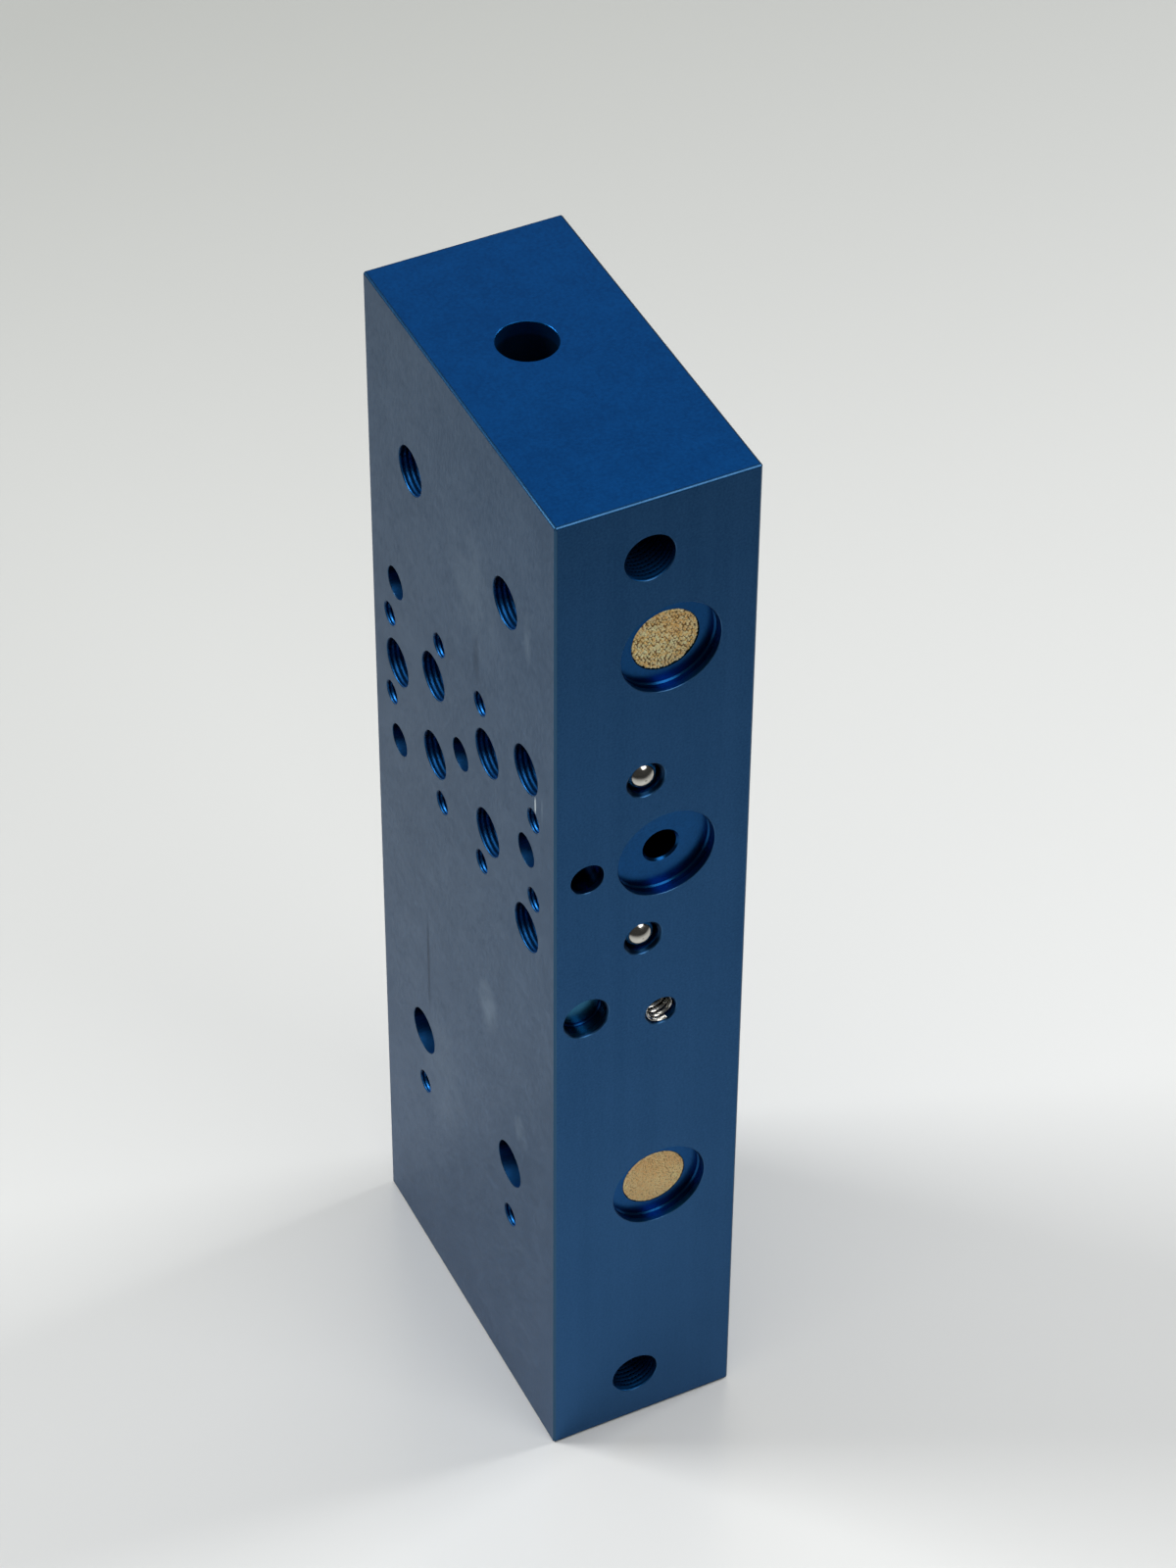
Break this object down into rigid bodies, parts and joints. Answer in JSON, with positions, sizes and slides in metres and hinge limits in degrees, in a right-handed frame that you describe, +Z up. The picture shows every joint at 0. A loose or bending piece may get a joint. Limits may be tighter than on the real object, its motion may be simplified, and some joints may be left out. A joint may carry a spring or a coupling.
{
  "type": "hydraulic_manifold_block",
  "caption": "Tall anodised aluminium manifold block with drilled and threaded valve ports, filter discs in round pockets, pressed sealing balls and a wire thread insert",
  "frame": {"origin": "middle of the bottom end, which the block stands on", "axes": "+Z is up along the block's length to the end with the gallery port; -X is out of the wide face with the port field; -Y is out of the narrow service face with the pockets"},
  "size_m": [0.04, 0.08, 0.245],
  "materials": {
    "anodised_blue": "blue anodised, machined",
    "sintered_bronze": "sintered, porous",
    "polished_steel": "polished",
    "stainless_wire": "drawn wire"
  },
  "bodies": {
    "root": {"manifold_block": "anodised_blue", "upper_filter_disc": "sintered_bronze", "lower_filter_disc": "sintered_bronze", "upper_sealing_ball": "polished_steel", "lower_sealing_ball": "polished_steel", "thread_insert": "stainless_wire"}
  },
  "joints": []
}
